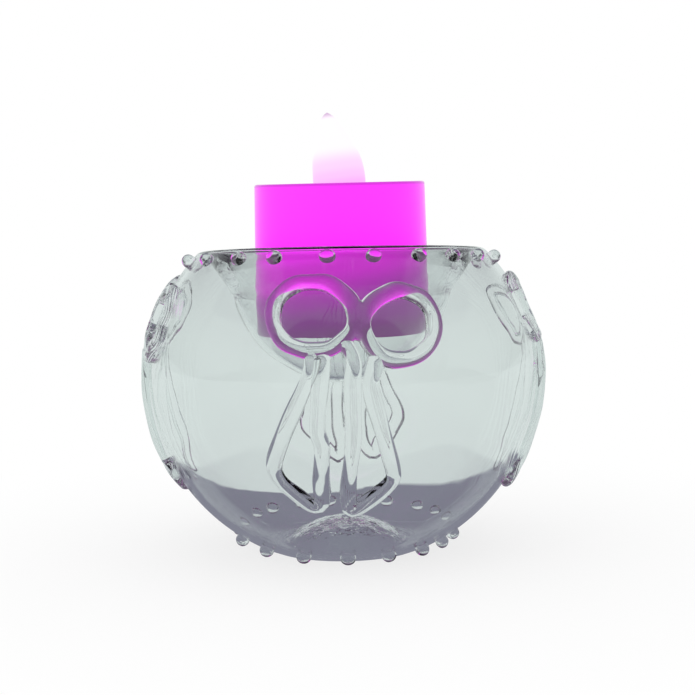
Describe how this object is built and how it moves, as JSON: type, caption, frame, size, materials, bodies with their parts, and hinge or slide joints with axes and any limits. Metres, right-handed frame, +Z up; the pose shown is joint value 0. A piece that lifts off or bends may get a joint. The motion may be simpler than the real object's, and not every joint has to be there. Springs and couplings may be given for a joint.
{
  "type": "glass tealight holder",
  "caption": "Double-walled blown glass tealight holder with a round cup, glass-rod bows and beads, and a lit LED tealight standing in the cup.",
  "frame": {"origin": "centre of the flat base, on the surface that the holder stands on", "axes": "+Z up along the bowl's axis, -Y towards the viewer of the front bow, +X to the viewer's right"},
  "size_m": [0.088, 0.088, 0.0941],
  "materials": {
    "clear_glass": "fire-polished, clear",
    "lit_shell": "translucent moulded plastic, lit magenta from inside",
    "lit_flame": "soft translucent plastic, lit nearly white",
    "lamp_lens": "clear moulded lens",
    "white_plastic": "moulded, satin",
    "grey_plastic": "moulded, satin",
    "cell_steel": "stainless can",
    "screw_steel": "zinc plated",
    "nickel_strip": "nickel plated strip"
  },
  "bodies": {
    "holder": {"glass_holder": "clear_glass", "candle_shell": "lit_shell", "flame_tip": "lit_flame", "led": "lamp_lens", "led_post": "white_plastic", "coin_cell": "cell_steel", "upper_contact": "nickel_strip", "side_contact": "nickel_strip", "base_plate": "white_plastic", "battery_door": "white_plastic", "door_screw": "screw_steel"},
    "switch": {"switch_slider": "grey_plastic"}
  },
  "joints": [
    {"name": "switch_slide", "type": "slide", "parent": "holder", "child": "switch", "axis": [1, 0, 0.007], "range_m": [-0.0024, 0]}
  ]
}
